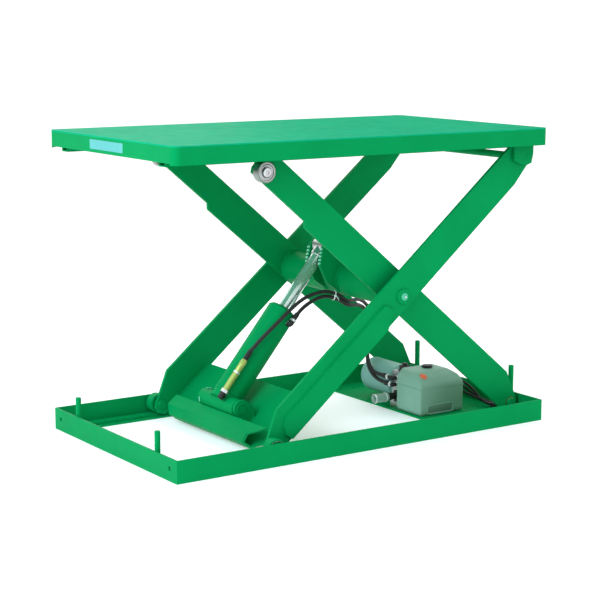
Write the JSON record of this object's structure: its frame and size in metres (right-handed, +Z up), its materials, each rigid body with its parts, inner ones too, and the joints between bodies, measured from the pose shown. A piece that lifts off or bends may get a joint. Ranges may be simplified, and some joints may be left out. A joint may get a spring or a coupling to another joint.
{
  "type": "scissor lift table",
  "caption": "Hydraulic scissor lift table: crossed steel arms between an angle-iron floor frame and a skirted deck, raised by one cylinder.",
  "frame": {"origin": "on the floor, under the centre of the floor frame", "axes": "+X along the deck from the roller end to the fixed pivots, +Y from the front side to the rear side, +Z up"},
  "size_m": [1.502, 0.85, 1.044],
  "materials": {
    "green_paint": "satin",
    "bright_steel": "machined",
    "dark_steel": "machined",
    "chrome_rod": "polished",
    "bronze": "machined",
    "roller_steel": "turned",
    "tank_grey": "satin",
    "motor_grey": "satin",
    "block_aluminium": "machined",
    "black_rubber": "matt",
    "black_plastic": "moulded",
    "seal": "matt",
    "valve_zinc": "zinc plated",
    "regulator_zinc": "zinc plated"
  },
  "bodies": {
    "base": {"side_rails": "green_paint", "end_rails": "green_paint", "roller_strips": "green_paint", "rest_pins": "green_paint", "power_unit_plate": "green_paint", "lower_cheeks": "green_paint", "lower_pins": "green_paint", "foot_bolts": "bright_steel", "block_fittings": "bright_steel", "oil_tank": "tank_grey", "pump_motor": "motor_grey", "motor_end_cover": "motor_grey", "pump_block": "block_aluminium", "filler_cap": "black_plastic", "cable_connector": "black_plastic", "lowering_valve": "valve_zinc", "hoses_lower": "black_rubber", "supply_cables": "black_rubber"},
    "inner_arms": {"front_inner_arm": "green_paint", "rear_inner_arm": "green_paint", "inner_cross_tube": "green_paint", "head_lugs": "green_paint", "centre_bosses": "green_paint", "lower_bushes": "bronze", "upper_axles": "bright_steel"},
    "outer_arms": {"front_outer_arm": "green_paint", "rear_outer_arm": "green_paint", "arm_doublers": "green_paint", "nose_plate": "green_paint", "sloping_cross_plate": "green_paint", "foot_lugs": "green_paint", "centre_pins": "green_paint", "foot_pin": "green_paint", "lower_axles": "green_paint", "upper_bushes": "bronze", "centre_collars": "bright_steel"},
    "platform": {"deck_plate": "green_paint", "side_skirts": "green_paint", "end_skirts": "green_paint", "deck_rails": "green_paint", "upper_brackets": "green_paint", "deck_ribs": "green_paint", "upper_pivot_shaft": "green_paint", "shaft_collars": "bright_steel"},
    "barrel": {"barrel_foot": "green_paint", "barrel_tube": "green_paint", "gland": "green_paint", "rod_wiper": "seal", "barrel_ports": "dark_steel", "flow_regulator": "regulator_zinc", "hoses_upper": "black_rubber"},
    "rod": {"piston": "dark_steel", "piston_seal": "seal", "piston_rod": "chrome_rod", "rod_eye": "bright_steel", "head_pin": "bright_steel"},
    "front_lower_roller": {"front_lower_roller": "green_paint"},
    "rear_lower_roller": {"rear_lower_roller": "green_paint"},
    "front_upper_roller": {"front_upper_roller": "roller_steel"},
    "rear_upper_roller": {"rear_upper_roller": "roller_steel"}
  },
  "joints": [
    {"name": "fold", "type": "hinge", "parent": "base", "child": "inner_arms", "pos_m": [0.701, 0, 0.05], "axis": [0, -1, 0], "range_deg": [0, 35.8], "deforming": ["hoses_upper", "hoses_lower"]},
    {"name": "scissor", "type": "hinge", "parent": "inner_arms", "child": "outer_arms", "pos_m": [0.16704, 0, 0.49488], "axis": [0, -1, 0], "range_deg": [-71.6, 0]},
    {"name": "deck_pivot", "type": "hinge", "parent": "outer_arms", "child": "platform", "pos_m": [0.701, 0, 0.93975], "axis": [0, -1, 0], "range_deg": [0, 35.8]},
    {"name": "cylinder_foot", "type": "hinge", "parent": "outer_arms", "child": "barrel", "pos_m": [-0.32427, 0, 0.12067], "axis": [0, -1, 0], "range_deg": [-2.54, 0]},
    {"name": "rod_stroke", "type": "slide", "parent": "barrel", "child": "rod", "axis": [0.6365, 0, 0.7713], "range_m": [-0.16969, 0]},
    {"name": "front_lower_roll", "type": "hinge", "parent": "outer_arms", "child": "front_lower_roller", "pos_m": [-0.36691, -0.385, 0.05], "axis": [0, 1, 0], "continuous": true},
    {"name": "front_upper_roll", "type": "hinge", "parent": "inner_arms", "child": "front_upper_roller", "pos_m": [-0.36691, -0.33, 0.93975], "axis": [0, 1, 0], "continuous": true},
    {"name": "rear_lower_roll", "type": "hinge", "parent": "outer_arms", "child": "rear_lower_roller", "pos_m": [-0.36691, 0.385, 0.05], "axis": [0, 1, 0], "continuous": true},
    {"name": "rear_upper_roll", "type": "hinge", "parent": "inner_arms", "child": "rear_upper_roller", "pos_m": [-0.36691, 0.33, 0.93975], "axis": [0, 1, 0], "continuous": true}
  ],
  "couplings": [
    {"joint": "scissor", "follows": "fold", "ratio": -2},
    {"joint": "deck_pivot", "follows": "fold", "ratio": 1},
    {"joint": "cylinder_foot", "follows": "fold", "ratio": -0.070822},
    {"joint": "rod_stroke", "follows": "fold", "m_per_rad": -0.27158}
  ]
}
